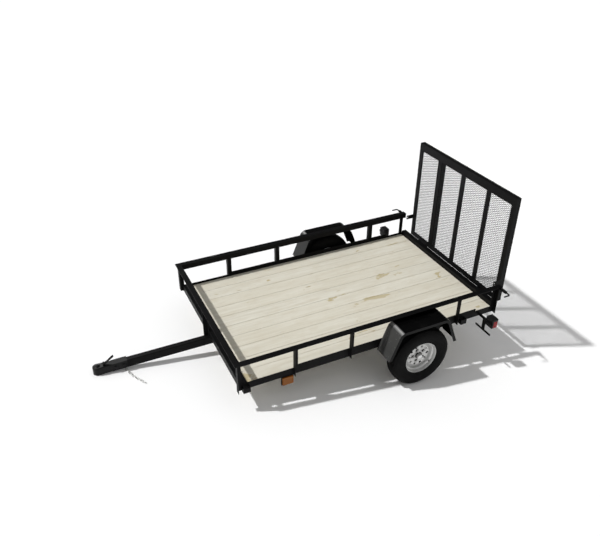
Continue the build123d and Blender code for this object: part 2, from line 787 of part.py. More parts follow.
# Ramp gate: angle frame, three angle bars, hinge barrels and latch tabs
gate_width = 2 * gate_half_width
gate_size = ((gate_leg, gate_leg), gate_wall)
head_size = ((gate_leg, gate_head_leg), gate_wall)
sill_size = ((gate_leg, gate_bar_leg), gate_wall)
bar_size = ((gate_bar_leg, gate_bar_leg), gate_wall)
half_bar = gate_bar_leg / 2
barrel_root = (2 * hinge_barrel_radius, hinge_barrel_radius + gate_wall / 2)
left_foot = (gate_front, gate_half_width, gate_bottom)
left_head = (gate_front, gate_half_width, gate_top)
right_foot = (gate_front, -gate_half_width, gate_bottom)
right_head = (gate_front, -gate_half_width, gate_top)
with BuildPart() as gate_frame:
    add(angle_bar(left_foot, UP, REARWARD, gate_height, *gate_size).part)
    add(angle_bar(right_head, DOWN, REARWARD, gate_height, *gate_size).part)
    add(angle_bar(left_head, RIGHT, REARWARD, gate_width, *head_size).part)
    add(angle_bar(right_foot, LEFT, REARWARD, gate_width, *sill_size).part)
    for side in (gate_bar_spacing, 0):
        head = (gate_front, side - half_bar, gate_top)
        add(angle_bar(head, DOWN, REARWARD, gate_height, *bar_size).part)
    foot = (gate_front, half_bar - gate_bar_spacing, gate_bottom)
    add(angle_bar(foot, UP, REARWARD, gate_height, *bar_size).part)
    for side in (hinge_station, -hinge_station):
        with BuildSketch(side_plane(side - hinge_barrel_length / 2)):
            with Locations((hinge_x, hinge_z)):
                Circle(hinge_barrel_radius)
                Rectangle(*barrel_root, align=(Align.CENTER, Align.MIN))
                Circle(hinge_pin_radius + running_clearance, mode=Mode.SUBTRACT)
        extrude(amount=-hinge_barrel_length)
    for face in (gate_half_width - latch_tab_wall, -gate_half_width):
        with BuildSketch(side_plane(face)):
            with Locations((gate_front - gate_wall, latch_level)):
                Rectangle(
                    latch_station + latch_tab_lap - gate_front + gate_wall,
                    latch_tab_height,
                    align=(Align.MIN, Align.CENTER),
                )
            with Locations((latch_station, latch_level)):
                Circle(latch_rod_radius + latch_clearance, mode=Mode.SUBTRACT)
        extrude(amount=-latch_tab_wall)
pieces["gate_frame"] = gate_frame

# Gate mesh: expanded metal in four panels behind the bars
panel_bottom = gate_bottom + gate_wall + mesh_clearance
panel_top = gate_top - gate_wall - mesh_clearance
outer_side = gate_half_width - gate_wall - mesh_clearance
near_web = gate_bar_spacing - half_bar
panel_sides = (
    (near_web + gate_wall + mesh_clearance, outer_side),
    (gate_wall - half_bar + mesh_clearance, near_web - mesh_clearance),
    (mesh_clearance - near_web, -half_bar - mesh_clearance),
    (-outer_side, -near_web - gate_wall - mesh_clearance),
)
with BuildPart() as gate_mesh:
    for low, high in panel_sides:
        cell_width = (high - low) / mesh_columns
        cell_height = (panel_top - panel_bottom) / mesh_rows
        half_diagonal = hypot(cell_width, cell_height) / 2
        side_trim = mesh_strand * half_diagonal / cell_height
        rise_trim = mesh_strand * half_diagonal / cell_width
        with BuildSketch(Plane.YZ.offset(gate_front - gate_wall - mesh_thickness)):
            with Locations(((low + high) / 2, (panel_bottom + panel_top) / 2)):
                Rectangle(high - low, panel_top - panel_bottom)
                for columns, rows in ((mesh_columns, mesh_rows), (mesh_columns - 1, mesh_rows - 1)):
                    with GridLocations(cell_width, cell_height, columns, rows):
                        Polygon(
                            (cell_width / 2 - side_trim, 0),
                            (0, cell_height / 2 - rise_trim),
                            (side_trim - cell_width / 2, 0),
                            (0, rise_trim - cell_height / 2),
                            align=None,
                            mode=Mode.SUBTRACT,
                        )
        extrude(amount=mesh_thickness)
pieces["gate_mesh"] = gate_mesh

# Wheels: pressed rim and disc, tyre and hub, all turned about the axle
half_rim = rim_width / 2 - rim_wall / 2
well_radius = rim_seat_radius - rim_well_depth
bead_radius = rim_seat_radius + rim_wall / 2 + running_clearance
bead_face = half_rim - rim_wall / 2 - running_clearance
flange_top = rim_seat_radius + rim_flange_height
with BuildPart() as rim:
    with BuildSketch(AXLE):
        with BuildLine():
            FilletPolyline(
                (wheel_plane - half_rim, flange_top),
                (wheel_plane - half_rim, rim_seat_radius),
                (wheel_plane - half_rim / 2, rim_seat_radius - rim_wall),
                (wheel_plane - half_rim / 3, well_radius),
                (wheel_plane + half_rim / 3, well_radius),
                (wheel_plane + half_rim / 2, rim_seat_radius - rim_wall),
                (wheel_plane + half_rim, rim_seat_radius),
                (wheel_plane + half_rim, flange_top),
                radius=rim_bend,
            )
        trace(line_width=rim_wall)
        with BuildLine():
            FilletPolyline(
                (disc_face - rim_wall / 2, hub_pilot_radius + running_clearance),
                (disc_face - rim_wall / 2, vent_circle + 1.5 * vent_radius),
                (wheel_plane, well_radius - 2 * rim_wall),
                (wheel_plane, well_radius),
                radius=rim_bend,
            )
        trace(line_width=rim_wall)
    revolve(axis=AXLE_LINE)
    with Locations(Plane(origin=(0, disc_face, tyre_radius), x_dir=FORWARD, z_dir=LEFT)):
        with PolarLocations(vent_circle, vent_count):
            Cylinder(vent_radius, 4 * rim_wall, mode=Mode.SUBTRACT)
        with PolarLocations(lug_circle, lug_count):
            Cylinder(lug_radius, 4 * rim_wall, mode=Mode.SUBTRACT)
pieces["rim_left"] = rim
pieces["rim_right"] = mirrored(rim)

half_tyre = tyre_width / 2
half_tread = tread_width / 2
shoulder = tyre_radius - tread_drop
widest = (shoulder + flange_top) / 2
bead_top = flange_top + running_clearance + rim_wall / 2
with BuildPart() as tyre:
    with BuildSketch(AXLE) as tyre_section:
        with BuildLine():
            crown = ThreePointArc(
                (wheel_plane, tyre_radius),
                (wheel_plane + half_tread / 2, tyre_radius - tread_drop / 4),
                (wheel_plane + half_tread, shoulder),
            )
            outside = ThreePointArc(
                crown @ 1, (wheel_plane + half_tyre, widest), (wheel_plane + bead_face, bead_top)
            )
            heel = Line(outside @ 1, (wheel_plane + bead_face, bead_radius))
            toe = Line(heel @ 1, (wheel_plane + bead_face - tyre_wall, bead_radius))
            inside = ThreePointArc(
                toe @ 1,
                (wheel_plane + half_tyre - tyre_wall, widest),
                (wheel_plane + half_tread - tyre_wall, shoulder - tyre_wall),
            )
            lining = Line(inside @ 1, (wheel_plane, tyre_radius - tyre_wall - tread_drop))
            Line(lining @ 1, crown @ 0)
        make_face()
        fillet(tyre_section.vertices().sort_by_distance(heel @ 1)[0], radius=rim_bend)
        mirror(about=Plane.YZ.offset(wheel_plane))
    revolve(axis=AXLE_LINE)
pieces["tyre_left"] = tyre
pieces["tyre_right"] = mirrored(tyre)

flange_back = disc_face - rim_wall - hub_flange_thickness
hub_back = flange_back - hub_inner_length
with BuildPart() as hub:
    with BuildSketch(AXLE) as hub_section:
        with BuildLine():
            Polyline(
                (hub_back, spindle_radius + running_clearance),
                (hub_back, hub_barrel_radius),
                (flange_back, hub_barrel_radius),
                (flange_back, hub_flange_radius),
                (disc_face - rim_wall, hub_flange_radius),
                (disc_face - rim_wall, hub_pilot_radius),
                (disc_face + hub_pilot_length, hub_pilot_radius),
                (disc_face + hub_pilot_length, hub_cap_radius),
                (disc_face + hub_cap_length, hub_cap_radius),
                (disc_face + hub_cap_length, 0),
                (spindle_end + running_clearance, 0),
                (spindle_end + running_clearance, spindle_tip_radius + running_clearance),
                (spindle_step + running_clearance, spindle_tip_radius + running_clearance),
                (spindle_step + running_clearance, spindle_radius + running_clearance),
                close=True,
            )
        make_face()
        cap_corner = (disc_face + hub_cap_length, hub_cap_radius)
        fillet(hub_section.vertices().sort_by_distance(cap_corner)[0], radius=hub_cap_radius / 3)
    revolve(axis=AXLE_LINE)
pieces["hub_left"] = hub
pieces["hub_right"] = mirrored(hub)

# Parking: turn about the axle until the front of the coupler's mouth meets the ground
nose_x = ball_station + nose_radius
nose_z = mouth_height - tyre_radius
park_angle = degrees(atan2(nose_z, nose_x) + asin(tyre_radius / hypot(nose_x, nose_z)))
tip = Location((0, 0, tyre_radius), (0, park_angle, 0)) * Location((0, 0, -tyre_radius))

# Safety chain: oval links that lie on the ground from the eye below the tongue
link_half = (chain_pitch + chain_wire) / 2
bend_radius = (chain_link_width - chain_wire) / 2
bend_flat = bend_radius * sin(radians(30))
straight = link_half - bend_radius + bend_flat
rest_level = bend_radius * sin(radians(45)) + chain_wire / 2 + chain_slack
eye_corner = chain_eye_radius * cos(radians(45))
eye_point = (tip * Location((chain_station - eye_corner, 0, tongue_bottom - eye_corner))).position
with BuildPart() as link:
    with BuildLine() as oval:
        Polyline(
            (0, -bend_radius),
            (straight, -bend_radius),
            (link_half, -bend_flat),
            (link_half, bend_flat),
            (straight, bend_radius),
            (-straight, bend_radius),
            (-link_half, bend_flat),
            (-link_half, -bend_flat),
            (-straight, -bend_radius),
            (0, -bend_radius),
        )
    with BuildSketch(Plane(origin=(0, -bend_radius, 0), x_dir=UP, z_dir=FORWARD)):
        RegularPolygon(chain_wire / 2, 8)
    sweep(path=oval.wires()[0], transition=Transition.RIGHT)
node = Vector(eye_point.X, -chain_eye_wire / 2 - chain_slack, eye_point.Z)
with BuildPart() as chain:
    for number in range(chain_links):
        heading = radians(chain_heading + number * chain_curl)
        run = chain_pitch - chain_slack
        drop = max(rest_level - node.Z, -run / 4)
        flat = (run**2 - drop**2) ** 0.5
        end = node + Vector(flat * cos(heading), flat * sin(heading), drop)
        along = (end - node).normalized()
        level = Vector(0, 0, 1).cross(along).normalized()
        leaning = along.cross(level) + level * (-1) ** number
        with Locations(Plane(origin=(node + end) / 2, x_dir=along, z_dir=leaning)):
            add(link.part)
        node = end

# Origin on the ground under the middle of the parked trailer
parked = {name: tip * piece.part for name, piece in pieces.items()}
parked["safety_chain"] = chain.part
boxes = [part.bounding_box() for part in parked.values()]
middle_x = (min(box.min.X for box in boxes) + max(box.max.X for box in boxes)) / 2
middle_y = (min(box.min.Y for box in boxes) + max(box.max.Y for box in boxes)) / 2
for name, part in parked.items():
    part = Location((-middle_x, -middle_y, 0)) * part
    part.label = name
    export_step(part, f"parts/{name}.step")
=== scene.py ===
"""Looks of the parked utility trailer: finishes, tread, fine mesh, chain, fasteners and welds."""

import json
import math

import bmesh
import bpy
from mathutils import Matrix, Vector


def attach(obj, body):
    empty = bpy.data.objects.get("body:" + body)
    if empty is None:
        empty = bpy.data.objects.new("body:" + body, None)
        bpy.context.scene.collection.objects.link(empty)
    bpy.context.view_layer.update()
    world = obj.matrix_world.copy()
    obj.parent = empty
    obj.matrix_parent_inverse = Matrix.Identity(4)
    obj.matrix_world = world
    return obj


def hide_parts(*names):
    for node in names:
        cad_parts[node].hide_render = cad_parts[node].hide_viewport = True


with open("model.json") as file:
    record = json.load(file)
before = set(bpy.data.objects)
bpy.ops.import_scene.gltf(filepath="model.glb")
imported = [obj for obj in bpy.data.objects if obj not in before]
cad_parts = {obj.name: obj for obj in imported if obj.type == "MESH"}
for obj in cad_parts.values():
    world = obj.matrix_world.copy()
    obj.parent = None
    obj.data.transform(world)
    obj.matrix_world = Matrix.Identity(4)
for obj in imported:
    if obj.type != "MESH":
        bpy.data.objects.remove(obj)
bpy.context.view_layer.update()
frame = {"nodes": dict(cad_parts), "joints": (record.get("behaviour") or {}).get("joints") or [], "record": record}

# The trailer is dressed level, in metres: X forward from the axle, Y to the left and Z up from the
# ground. PARK carries a level point to where it is when the coupler rests on the ground.
mounts = {mount["name"]: mount for mount in frame["record"]["mounts"]}
joints = {joint["name"]: joint for joint in frame["joints"]}
deck_up = Vector(mounts["deck_face"]["axis"])
park_tilt = math.atan2(deck_up.x, deck_up.z)
axle_centre = Vector(joints["wheel_left_spin"]["pos_m"])
wheel_plane = axle_centre.y
axle_centre.y = 0
axle_height = axle_centre.z
PARK = (
    Matrix.Translation(axle_centre)
    @ Matrix.Rotation(park_tilt, 4, "Y")
    @ Matrix.Translation((0, 0, -axle_height))
)
LEVEL = PARK.inverted()
FORWARD, UP = Vector((1, 0, 0)), Vector((0, 0, 1))
LEFT, RIGHT = Vector((0, 1, 0)), Vector((0, -1, 0))
SIDES = (("left", 1), ("right", -1))


def level_box(node):
    """Lowest and highest corner of a CAD node in the level trailer."""
    corners = [LEVEL @ vertex.co for vertex in frame["nodes"][node].data.vertices]
    low = Vector(min(corner[axis] for corner in corners) for axis in range(3))
    high = Vector(max(corner[axis] for corner in corners) for axis in range(3))
    return low, high


# Node trees


def add_node(tree, kind, sockets=None, **settings):
    """A new node with its settings, and its sockets set to values or joined to other sockets."""
    node = tree.nodes.new(kind)
    for name, value in settings.items():
        setattr(node, name, value)
    for name, value in (sockets or {}).items():
        if isinstance(value, bpy.types.NodeSocket):
            tree.links.new(value, node.inputs[name])
        else:
            node.inputs[name].default_value = value
    return node


def math_node(tree, operation, first, second=0.0):
    """One step of arithmetic."""
    return add_node(tree, "ShaderNodeMath", {0: first, 1: second}, operation=operation).outputs[0]


def remap(tree, value, low, high, to_low, to_high):
    """A value carried from one range to another and kept inside it."""
    sockets = {
        "Value": value,
        "From Min": low,
        "From Max": high,
        "To Min": to_low,
        "To Max": to_high,
    }
    return add_node(tree, "ShaderNodeMapRange", sockets).outputs["Result"]


def mix_colour(tree, factor, first, second):
    """One colour laid over another."""
    sockets = {0: factor, 6: first, 7: second}
    return add_node(tree, "ShaderNodeMix", sockets, data_type="RGBA").outputs[2]


def noise(tree, vector, scale, detail=4.0, roughness=0.55, distortion=0.0):
    """A cloudy value about one half."""
    sockets = {
        "Vector": vector,
        "Scale": scale,
        "Detail": detail,
        "Roughness": roughness,
        "Distortion": distortion,
    }
    return add_node(tree, "ShaderNodeTexNoise", sockets).outputs["Fac"]


def coordinate(tree, vector, axis):
    """One coordinate of a vector."""
    return add_node(tree, "ShaderNodeSeparateXYZ", {0: vector}).outputs[axis]


def facing(tree, axis):
    """How far a face looks along one axis of the ground frame."""
    return coordinate(tree, add_node(tree, "ShaderNodeNewGeometry").outputs["Normal"], axis)


def object_place(tree):
    """Place on the piece, in its own metres."""
    return add_node(tree, "ShaderNodeTexCoord").outputs["Object"]


def level_place(tree, scale=(1, 1, 1), shift=(0, 0, 0)):
    """Place on the trailer along its own length, width and height."""
    turned = add_node(
        tree,
        "ShaderNodeMapping",
        {"Vector": object_place(tree), "Rotation": (0, -park_tilt, 0)},
    )
    sockets = {"Vector": turned.outputs[0], "Scale": scale, "Location": shift}
    return add_node(tree, "ShaderNodeMapping", sockets).outputs[0]


def bump(tree, shader, height, strength, distance):
    """Relief on a shader from a height value."""
    sockets = {"Height": height, "Strength": strength, "Distance": distance}
    relief = add_node(tree, "ShaderNodeBump", sockets)
    tree.links.new(relief.outputs["Normal"], shader.inputs["Normal"])


def new_finish(name, **constants):
    """A material, its tree and its shader, with constants set on the shader's own sockets."""
    material = bpy.data.materials.new(name)
    material.use_nodes = True
    shader = material.node_tree.nodes["Principled BSDF"]
    for socket, value in constants.items():
        shader.inputs[socket.replace("_", " ")].default_value = value
    return material, material.node_tree, shader


def colour(red, green, blue):
    """A plain colour with full cover."""
    return (red, green, blue, 1.0)


# Finishes


def black_paint(name, deep, pale, gloss, shine):
    """Sprayed black enamel: faint orange peel, thin patches of dust and uneven gloss."""
    material, tree, shader = new_finish(name, Specular_IOR_Level=shine)
    place = object_place(tree)
    cloud = noise(tree, place, 2.6, 5)
    dust = remap(tree, noise(tree, place, 9.0, 6, 0.7), 0.55, 0.8, 0.0, 0.55)
    coat = mix_colour(tree, cloud, colour(*deep), colour(*pale))
    dusty = mix_colour(tree, dust, coat, colour(0.0105, 0.0100, 0.0095))
    tree.links.new(dusty, shader.inputs["Base Color"])
    peel = noise(tree, place, 420.0, 2)
    low, high = gloss
    tree.links.new(remap(tree, cloud, 0.3, 0.7, low, high), shader.inputs["Roughness"])
    bump(tree, shader, peel, 0.12, 0.0006)
    return material


def fender_paint(name, deep, pale, gloss, shine):
    """Glossy black enamel: grit and chips with a painted reflection ahead, weaker on the far fender, a painted
    highlight on the front bend, matt underneath.
    """
    material = black_paint(name, deep, pale, gloss, shine)
    tree = material.node_tree
    shader = tree.nodes["Principled BSDF"]
    enamel = shader.inputs["Base Color"].links[0].from_socket
    satin = shader.inputs["Roughness"].links[0].from_socket
    ahead, above = facing(tree, "X"), facing(tree, "Z")
    outside = remap(tree, above, *OUTER_FACES, 0, 1)
    # Forward faces are paler: grit and chips, and a painted reflection on the slope, weaker on the far fender
    forward = math_node(tree, "MULTIPLY", remap(tree, ahead, *GRIT_AND_REFLECTION_FACES, 0, 1), outside)
    near_side = remap(tree, coordinate(tree, object_place(tree), "Y"), -0.5, 0.5, FAR_SIDE_GRIT_AND_REFLECTION, 1)
    grit_and_reflection = math_node(tree, "MULTIPLY", forward, near_side)
    sockets = {"Vector": object_place(tree), "Scale": CHIPS_PER_METRE}
    spread = add_node(tree, "ShaderNodeTexVoronoi", sockets).outputs["Distance"]
    chips = remap(tree, spread, 0.08, 0.13, 0.75, 0)
    grit_and_reflection_tone = mix_colour(tree, chips, colour(0.040, 0.040, 0.0385), colour(0.28, 0.28, 0.27))
    gritty_and_reflecting = mix_colour(tree, grit_and_reflection, enamel, grit_and_reflection_tone)
    # A pale band painted along the front bend is a painted highlight
    past_top = remap(tree, ahead, *BEND_HIGHLIGHT_START, 0, outside)
    bend = math_node(tree, "MULTIPLY", past_top, remap(tree, ahead, *BEND_HIGHLIGHT_END, 1, 0))
    painted_bend_highlight = mix_colour(tree, bend, gritty_and_reflecting, colour(0.27, 0.27, 0.265))
    tree.links.new(painted_bend_highlight, shader.inputs["Base Color"])
    tree.links.new(remap(tree, grit_and_reflection, 0, 1, satin, 0.6), shader.inputs["Roughness"])
    sheen = remap(tree, above, -0.1, 0.1, 0.0, shine)
    tree.links.new(sheen, shader.inputs["Specular IOR Level"])
    return material


def deck_wood(planks):
    """Pale sawn planks: grain along each plank, its own tone, tan stains, knots and end grain."""
    material, tree, shader = new_finish("deck_wood", Specular_IOR_Level=0.2)
    low, high = level_box("deck")
    pitch = (high.y - low.y + PLANK_GAP) / planks
    from_edge = math_node(tree, "SUBTRACT", coordinate(tree, level_place(tree), "Y"), low.y)
    number = math_node(tree, "FLOOR", math_node(tree, "DIVIDE", from_edge, pitch))
    own = add_node(tree, "ShaderNodeTexWhiteNoise", {"W": number}, noise_dimensions="1D")
    sockets = {0: own.outputs["Color"], 3: PLANK_SHIFT}
    shift = add_node(tree, "ShaderNodeVectorMath", sockets, operation="SCALE").outputs[0]

    def along(scale):
        """Place stretched along the planks and shifted from plank to plank."""
        sockets = {0: level_place(tree, scale), 1: shift}
        return add_node(tree, "ShaderNodeVectorMath", sockets, operation="ADD").outputs[0]

    grain = noise(tree, along((1.6, 34, 34)), 1.0, 7, 0.62, 0.5)
    fibre = noise(tree, along((9, 260, 260)), 1.0, 3, 0.6)
    streak = remap(tree, grain, 0.36, 0.66, 0, 1)
    board = mix_colour(tree, streak, colour(0.575, 0.545, 0.455), colour(0.665, 0.645, 0.565))
    dark_fibre = remap(tree, fibre, 0.5, 0.8, 0, 0.26)
    board = mix_colour(tree, dark_fibre, board, colour(0.47, 0.42, 0.31))
    tone = remap(tree, own.outputs["Value"], 0, 1, 0.0, 0.28)
    board = mix_colour(tree, tone, board, colour(0.60, 0.56, 0.45))
    mottle = noise(tree, level_place(tree, (7, 17, 17)), 1.0, 6, 0.65)
    mottled = remap(tree, mottle, 0.48, 0.66, 0, 0.42)
    board = mix_colour(tree, mottled, board, colour(0.54, 0.49, 0.385))
    stain = noise(tree, level_place(tree, (2.7, 6.8, 6.8), STAIN_SHIFT), 1.0, 5, 0.6, 0.35)
    stained = remap(tree, stain, 0.635, 0.655, 0, 0.8)
    board = mix_colour(tree, stained, board, colour(0.42, 0.345, 0.18))
    weathering = noise(tree, along((1.1, 3.0, 3.0)), 1.0, 4)
    grey = remap(tree, weathering, 0.52, 0.72, 0, 0.40)
    board = mix_colour(tree, grey, board, colour(0.55, 0.51, 0.41))
    sockets = {"Vector": along((1.5, 6.0, 6.0)), "Scale": 1.0}
    spread = add_node(tree, "ShaderNodeTexVoronoi", sockets).outputs["Distance"]
    knot = remap(tree, spread, 0.03, 0.06, 0.8, 0)
    board = mix_colour(tree, knot, board, colour(0.33, 0.25, 0.13))
    sawn_end = remap(tree, math_node(tree, "ABSOLUTE", facing(tree, "X")), 0.7, 0.9, 0, 0.75)
    rings = add_node(
        tree,
        "ShaderNodeTexWave",
        {"Vector": along((0, 1, 1)), "Scale": 42.0, "Distortion": 7.0, "Detail": 2.0},
        wave_type="RINGS",
    )
    ring = rings.outputs["Fac"]
    end_grain = mix_colour(tree, ring, colour(0.40, 0.32, 0.19), colour(0.58, 0.50, 0.34))
    board = mix_colour(tree, sawn_end, board, end_grain)
    tree.links.new(board, shader.inputs["Base Color"])
    tree.links.new(remap(tree, grain, 0.3, 0.7, 0.68, 0.88), shader.inputs["Roughness"])
    relief = math_node(tree, "ADD", grain, math_node(tree, "MULTIPLY", fibre, 0.6))
    bump(tree, shader, relief, 0.35, 0.0015)
    return material


def tyre_rubber():
    """Road-grey rubber, duller and paler where dust has settled."""
    material, tree, shader = new_finish("tyre_rubber", Specular_IOR_Level=0.09)
    place = object_place(tree)
    cloud = noise(tree, place, 14.0, 6, 0.65)
    dust = remap(tree, cloud, 0.45, 0.75, 0, 0.6)
    clean, dusty = colour(0.0030, 0.0030, 0.0030), colour(0.0095, 0.0092, 0.0088)
    coat = mix_colour(tree, dust, clean, dusty)
    tree.links.new(coat, shader.inputs["Base Color"])
    tree.links.new(remap(tree, cloud, 0.3, 0.7, 0.62, 0.85), shader.inputs["Roughness"])
    bump(tree, shader, noise(tree, place, 600.0, 2), 0.15, 0.0005)
    return material


def silver_wheel():
    """Silver wheel paint with a fine metal flake, and road grime with painted shade in the barrel behind the disc.
    """
    material, tree, shader = new_finish("wheel_silver", Metallic=0.35)
    place = object_place(tree)
    flake = noise(tree, place, 1500.0, 1)
    cloud = noise(tree, place, 18.0, 5)
    paint = mix_colour(tree, flake, colour(0.50, 0.50, 0.49), colour(0.66, 0.66, 0.65))
    dirt = remap(tree, cloud, 0.55, 0.8, 0, 0.45)
    dirty = mix_colour(tree, dirt, paint, colour(0.24, 0.23, 0.21))
    reach = math_node(tree, "ABSOLUTE", coordinate(tree, place, "Y"))
    # The barrel behind the disc is painted near black: road grime together with painted shade in the recess
    behind = remap(tree, reach, *(wheel_plane - inset for inset in GRIME_AND_SHADE_FRONT), 0.97, 0)
    well = remap(tree, reach, *(wheel_plane - inset for inset in GRIME_AND_SHADE_BACK), 0, 1)
    grime_and_shade = math_node(tree, "MULTIPLY", behind, well)
    grime_and_shade_coat = mix_colour(tree, grime_and_shade, dirty, colour(0.016, 0.0155, 0.015))
    tree.links.new(grime_and_shade_coat, shader.inputs["Base Color"])
    tree.links.new(remap(tree, cloud, 0.3, 0.7, 0.32, 0.46), shader.inputs["Roughness"])
    bump(tree, shader, flake, 0.05, 0.0003)
    return material


def zinc_plate(name, dull, bright, metal):
    """Plated or bare steel: a faint crystal mottle with darker handled patches."""
    material, tree, shader = new_finish(name, Metallic=metal)
    place = object_place(tree)
    cells = add_node(tree, "ShaderNodeTexVoronoi", {"Vector": place, "Scale": 260.0})
    crystal = coordinate(tree, cells.outputs["Color"], "X")
    patch = noise(tree, place, 22.0, 5)
    plate = mix_colour(tree, crystal, colour(*dull), colour(*bright))
    handled = colour(*(0.45 * tone for tone in dull))
    worn = mix_colour(tree, remap(tree, patch, 0.55, 0.75, 0, 0.5), plate, handled)
    tree.links.new(worn, shader.inputs["Base Color"])
    tree.links.new(remap(tree, patch, 0.3, 0.7, 0.28, 0.5), shader.inputs["Roughness"])
    bump(tree, shader, patch, 0.08, 0.0005)
    return material


def hub_iron():
    """Dark hub casting with a bright pressed cap on its outer end."""
    material, tree, shader = new_finish("hub_steel", Metallic=0.75)
    reach = math_node(tree, "ABSOLUTE", coordinate(tree, object_place(tree), "Y"))
    cap_start = level_box("hub_left")[1].y - HUB_CAP_DEPTH
    cap = remap(tree, reach, cap_start, cap_start + 0.001, 0, 1)
    cloud = noise(tree, object_place(tree), 60.0, 5)
    casting = mix_colour(tree, cloud, colour(0.030, 0.030, 0.031), colour(0.085, 0.082, 0.078))
    bright = mix_colour(tree, cloud, colour(0.55, 0.55, 0.54), colour(0.78, 0.78, 0.77))
    tree.links.new(mix_colour(tree, cap, casting, bright), shader.inputs["Base Color"])
    tree.links.new(remap(tree, cloud, 0.3, 0.7, 0.24, 0.42), shader.inputs["Roughness"])
    bump(tree, shader, cloud, 0.10, 0.0006)
    return material


def lens_plastic(name, deep, bright, ribs):
    """Moulded lens: prism ribs inside a glossy skin, with a deeper tone between them."""
    material, tree, shader = new_finish(name, Roughness=0.22, Specular_IOR_Level=0.2)
    sockets = {"Vector": level_place(tree), "Scale": ribs}
    bands = add_node(tree, "ShaderNodeTexWave", sockets, bands_direction="Z").outputs["Fac"]
    cross = add_node(tree, "ShaderNodeTexWave", sockets, bands_direction="Y").outputs["Fac"]
    prism = math_node(tree, "MULTIPLY", bands, cross)
    tint = mix_colour(tree, prism, colour(*deep), colour(*bright))
    tree.links.new(tint, shader.inputs["Base Color"])
    bump(tree, shader, prism, 0.3, 0.0012)
    return material


def lamp_plastic():
    """Moulded black plastic with a fine spark-eroded grain."""
    material, tree, shader = new_finish("lamp_plastic", Specular_IOR_Level=0.12)
    place = object_place(tree)
    cloud = noise(tree, place, 35.0, 5)
    plastic = mix_colour(tree, cloud, colour(0.006, 0.006, 0.0065), colour(0.013, 0.013, 0.013))
    tree.links.new(plastic, shader.inputs["Base Color"])
    tree.links.new(remap(tree, cloud, 0.3, 0.7, 0.42, 0.6), shader.inputs["Roughness"])
    bump(tree, shader, noise(tree, place, 900.0, 1), 0.2, 0.0004)
    return material


PLANKS = 10
PLANK_GAP = 0.003
PLANK_SHIFT = 23.0
STAIN_SHIFT = (7.7, 1.3, 0.0)
HUB_CAP_DEPTH = 0.026
# Road grime and painted shade lie in the rim between these distances inboard of the wheel's middle
GRIME_AND_SHADE_FRONT, GRIME_AND_SHADE_BACK = (0.012, 0.004), (0.054, 0.046)
# Shares of a fender face's normal between which grit with its painted reflection, the painted highlight on the
# bend and the outside begin or end
GRIT_AND_REFLECTION_FACES, OUTER_FACES = (0.68, 0.88), (0.0, 0.15)
BEND_HIGHLIGHT_START, BEND_HIGHLIGHT_END = (0.36, 0.56), (0.60, 0.84)
# The far fender's forward slope keeps this share of the grit and painted reflection
FAR_SIDE_GRIT_AND_REFLECTION = 0.3
CHIPS_PER_METRE = 48.0

DARK_BLACK, WORN_BLACK = (0.0027, 0.0027, 0.0029), (0.0050, 0.0050, 0.0053)
FENDER_BLACK, RUBBED_FENDER = (0.0010, 0.0010, 0.0011), (0.0020, 0.0020, 0.0021)
CAST_BLACK, RUBBED_BLACK = (0.0030, 0.0030, 0.0032), (0.0060, 0.0060, 0.0062)
DULL_ZINC, BRIGHT_ZINC = (0.50, 0.50, 0.49), (0.72, 0.72, 0.70)
DEEP_AMBER, BRIGHT_AMBER = (0.185, 0.058, 0.008), (0.30, 0.105, 0.014)
DEEP_RED, BRIGHT_RED = (0.19, 0.006, 0.009), (0.34, 0.016, 0.023)
LENS_RIBS = 34.0
finishes = {
    "black_paint": black_paint("black_paint", DARK_BLACK, WORN_BLACK, (0.38, 0.54), 0.08),
    "coupler_black": black_paint("coupler_black", CAST_BLACK, RUBBED_BLACK, (0.32, 0.48), 0.16),
    "deck_wood": deck_wood(PLANKS),
    "tyre_rubber": tyre_rubber(),
    "wheel_silver": silver_wheel(),
    "hub_steel": hub_iron(),
    "chain_zinc": zinc_plate("chain_zinc", DULL_ZINC, BRIGHT_ZINC, 0.85),
    "amber_lens": lens_plastic("amber_lens", DEEP_AMBER, BRIGHT_AMBER, LENS_RIBS),
    "red_lens": lens_plastic("red_lens", DEEP_RED, BRIGHT_RED, LENS_RIBS),
    "lamp_plastic": lamp_plastic(),
}
for subpart in frame["record"]["subparts"]:
    node = frame["nodes"][subpart["node"]]
    node.data.materials.clear()
    node.data.materials.append(finishes[subpart["material_slot"]])
fender_gloss = fender_paint("fender_gloss", FENDER_BLACK, RUBBED_FENDER, (0.20, 0.28), 0.22)
for side, _ in SIDES:
    frame["nodes"][f"fender_{side}"].data.materials[0] = fender_gloss


# Modelling by hand
NEAR = 1e-5
UPWARD = 0.9
# Angles in degrees up to which edges are shaded smooth
CRISP, CREASED, ROUNDED = 30, 35, 60


def deselect():
    """Nothing selected, in object mode."""
    bpy.ops.object.select_all(action="DESELECT")


def select(piece):
    """One piece selected and active, alone."""
    deselect()
    piece.select_set(True)
    bpy.context.view_layer.objects.active = piece


def settle():
    """Writes the place of the selected part into its mesh and returns the part."""
    bpy.ops.object.transform_apply(location=True, rotation=True, scale=True)
    return bpy.context.object


def edit(piece):
    """Opens a piece for editing, alone."""
    select(piece)
    bpy.ops.object.mode_set(mode="EDIT")


def leave():
    """Closes the edit and returns the piece."""
    bpy.ops.object.mode_set(mode="OBJECT")
    return bpy.context.object


def pick_faces(test):
    """Selects only the faces whose centre and normal pass a test."""
    bpy.ops.mesh.select_mode(type="FACE")
    bpy.ops.mesh.select_all(action="DESELECT")
    mesh = bmesh.from_edit_mesh(bpy.context.object.data)
    for face in mesh.faces:
        if test(face.calc_center_median(), face.normal):
            face.select_set(True)
    bmesh.update_edit_mesh(bpy.context.object.data)


def pick_top():
    """Selects only the faces that look up."""
    pick_faces(lambda middle, normal: normal.z > UPWARD)


